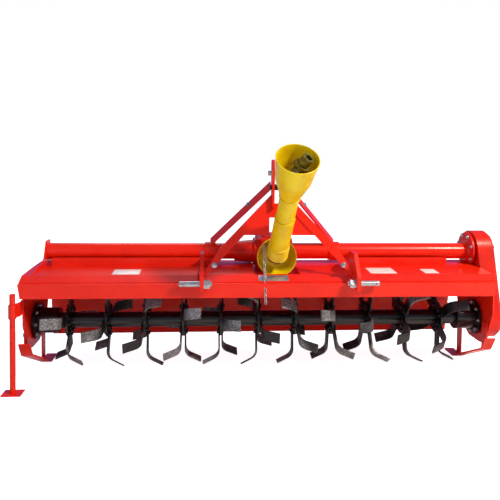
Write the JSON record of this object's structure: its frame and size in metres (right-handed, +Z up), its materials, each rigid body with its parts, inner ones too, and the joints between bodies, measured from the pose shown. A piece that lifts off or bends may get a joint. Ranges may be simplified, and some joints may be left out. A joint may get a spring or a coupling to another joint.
{
  "type": "rotavator",
  "caption": "Wide tractor-mounted rotary tiller: hooded bladed rotor, side gear case, three-point headstock, guarded drive shaft, skids and parking stand.",
  "frame": {"origin": "middle of the footprint, on the floor the skids stand on", "axes": "+X across the machine towards the side gear case, -Y towards the tractor, +Z up"},
  "size_m": [2.6745, 1.0417, 1.2675],
  "materials": {
    "enamel": "gloss",
    "black_enamel": "satin",
    "zinc": "satin",
    "bare_steel": "satin",
    "blade_steel": "rough",
    "guard_plastic": "satin",
    "joint_steel": "satin"
  },
  "bodies": {
    "frame": {"front_beam": "enamel", "hood_deck": "enamel", "gearbox_well": "enamel", "left_side_plate": "enamel", "right_side_plate": "enamel", "left_cross_tube": "enamel", "right_cross_tube": "enamel", "ridge_angle": "enamel", "gearbox": "enamel", "gearbox_lid": "enamel", "guard_cup": "guard_plastic", "gear_case": "enamel", "gear_case_lid": "enamel", "bearing_housing": "enamel", "left_hitch_plate": "enamel", "right_hitch_plate": "enamel", "left_lower_pin": "zinc", "right_lower_pin": "zinc", "left_mast_plate": "enamel", "right_mast_plate": "enamel", "top_link_pin": "zinc", "mast_spacer": "black_enamel", "left_front_strut": "enamel", "right_front_strut": "enamel", "left_rear_strut": "enamel", "right_rear_strut": "enamel", "stand_bracket": "enamel", "headstock_web": "enamel", "strut_feet": "enamel", "tube_end_plate": "enamel", "left_skid": "enamel", "right_skid": "enamel", "board_hinges": "enamel", "input_yoke": "joint_steel"},
    "stand": {"parking_stand": "enamel"},
    "rotor": {"rotor_tube": "black_enamel", "left_rotor_hub": "black_enamel", "right_rotor_hub": "black_enamel", "blade_flanges": "black_enamel", "blades": "blade_steel"},
    "board": {"trailing_board": "enamel"},
    "inner_shaft": {"inner_cross": "bare_steel", "inner_yoke": "joint_steel", "inner_shield": "guard_plastic"},
    "outer_shaft": {"outer_yoke": "joint_steel", "outer_shield": "guard_plastic"},
    "coupler": {"outer_cross": "bare_steel", "tractor_yoke": "joint_steel"}
  },
  "joints": [
    {"name": "rotor_spin", "type": "hinge", "parent": "frame", "child": "rotor", "pos_m": [-0.0237, 0.1328, 0.29], "axis": [1, 0, 0], "continuous": true},
    {"name": "board_swing", "type": "hinge", "parent": "frame", "child": "board", "pos_m": [-0.0237, 0.46558, 0.37917], "axis": [1, 0, 0], "range_deg": [-8, 60]},
    {"name": "stand_slide", "type": "slide", "parent": "frame", "child": "stand", "axis": [0, 0, 1], "range_m": [0, 0.25]},
    {"name": "shaft_swing", "type": "hinge", "parent": "frame", "child": "inner_shaft", "pos_m": [0.0533, 0.0288, 0.657], "axis": [0.999, 0.0298, -0.0342], "range_deg": [0, 50]},
    {"name": "shaft_telescope", "type": "slide", "parent": "inner_shaft", "child": "outer_shaft", "axis": [0.0454, -0.6554, 0.7539], "range_m": [0, 0.2]},
    {"name": "coupler_swing", "type": "hinge", "parent": "outer_shaft", "child": "coupler", "pos_m": [0.08188, -0.38409, 1.13198], "axis": [0, 0.7547, 0.6561], "range_deg": [-54, 0]}
  ]
}
